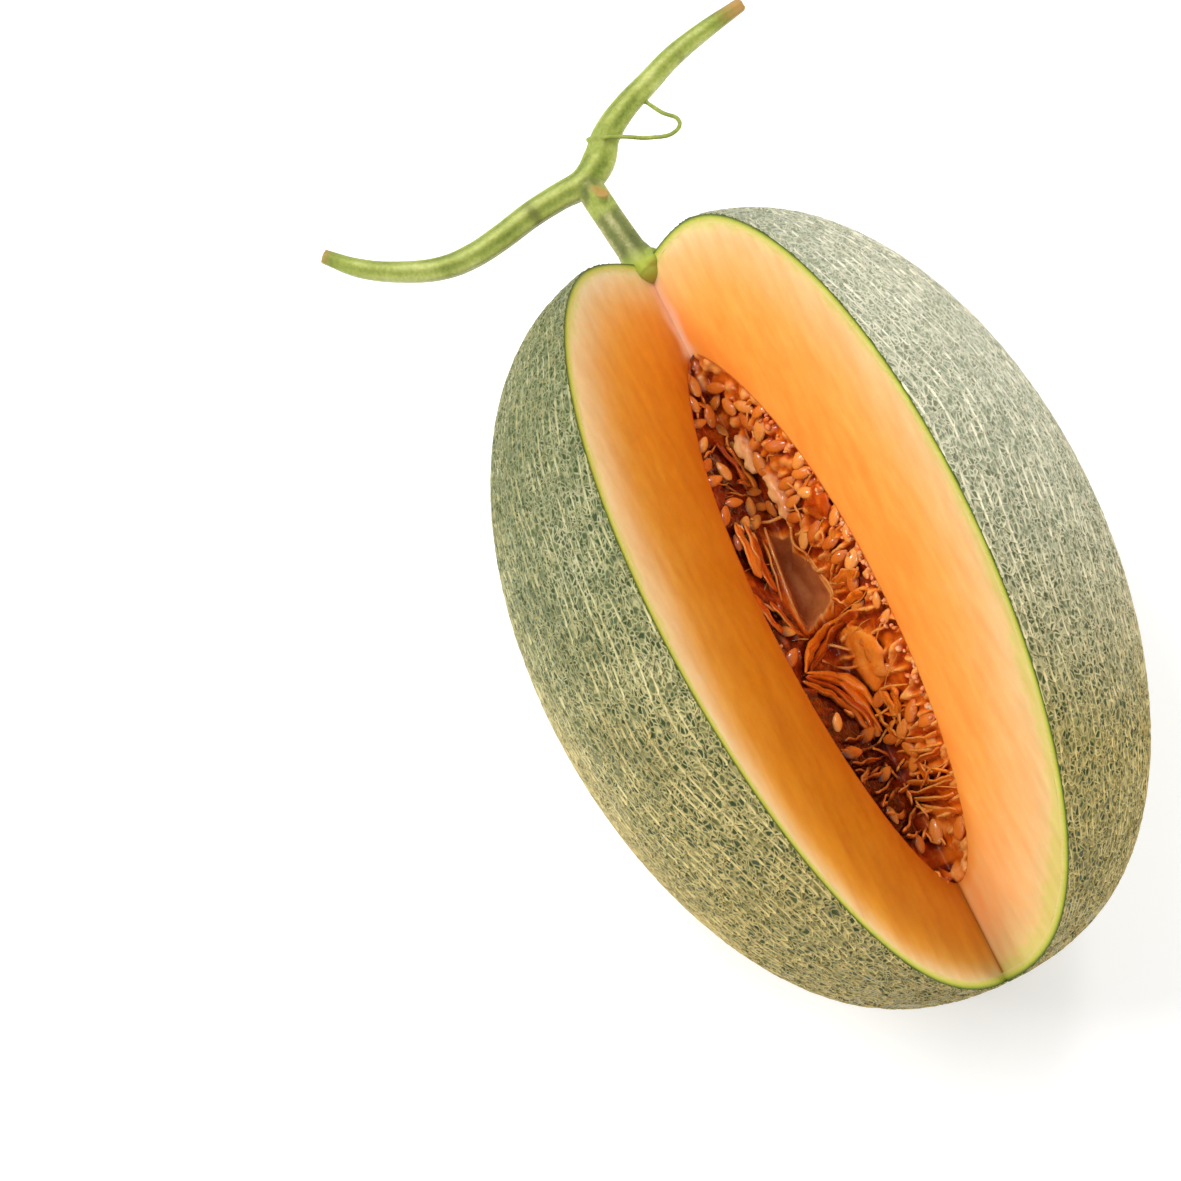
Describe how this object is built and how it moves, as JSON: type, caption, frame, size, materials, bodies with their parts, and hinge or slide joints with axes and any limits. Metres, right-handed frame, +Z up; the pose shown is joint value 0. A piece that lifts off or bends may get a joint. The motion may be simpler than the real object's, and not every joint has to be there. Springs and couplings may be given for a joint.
{
  "type": "cut cantaloupe melon",
  "caption": "Oval netted melon with a long wedge cut out, showing orange flesh, the seed cavity and its vine stem.",
  "frame": {"origin": "middle of the small flat rest spot on the rind, under the melon", "axes": "+Z up, +Y along the melon towards the stem end, +X to the right seen from the blossom end, notch opening upwards and a little to -X"},
  "size_m": [0.1752, 0.2981, 0.1685],
  "materials": {
    "rind": "green melon skin under a raised straw-coloured net, dull",
    "flesh": "moist orange fruit flesh, soft sheen",
    "seed_pulp": "wet amber pulp with pale tan seeds, glossy",
    "stem": "ribbed green vine stem, dull"
  },
  "bodies": {
    "root": {"rind": "rind", "flesh": "flesh", "seed_pulp": "seed_pulp", "stem": "stem"}
  },
  "joints": []
}
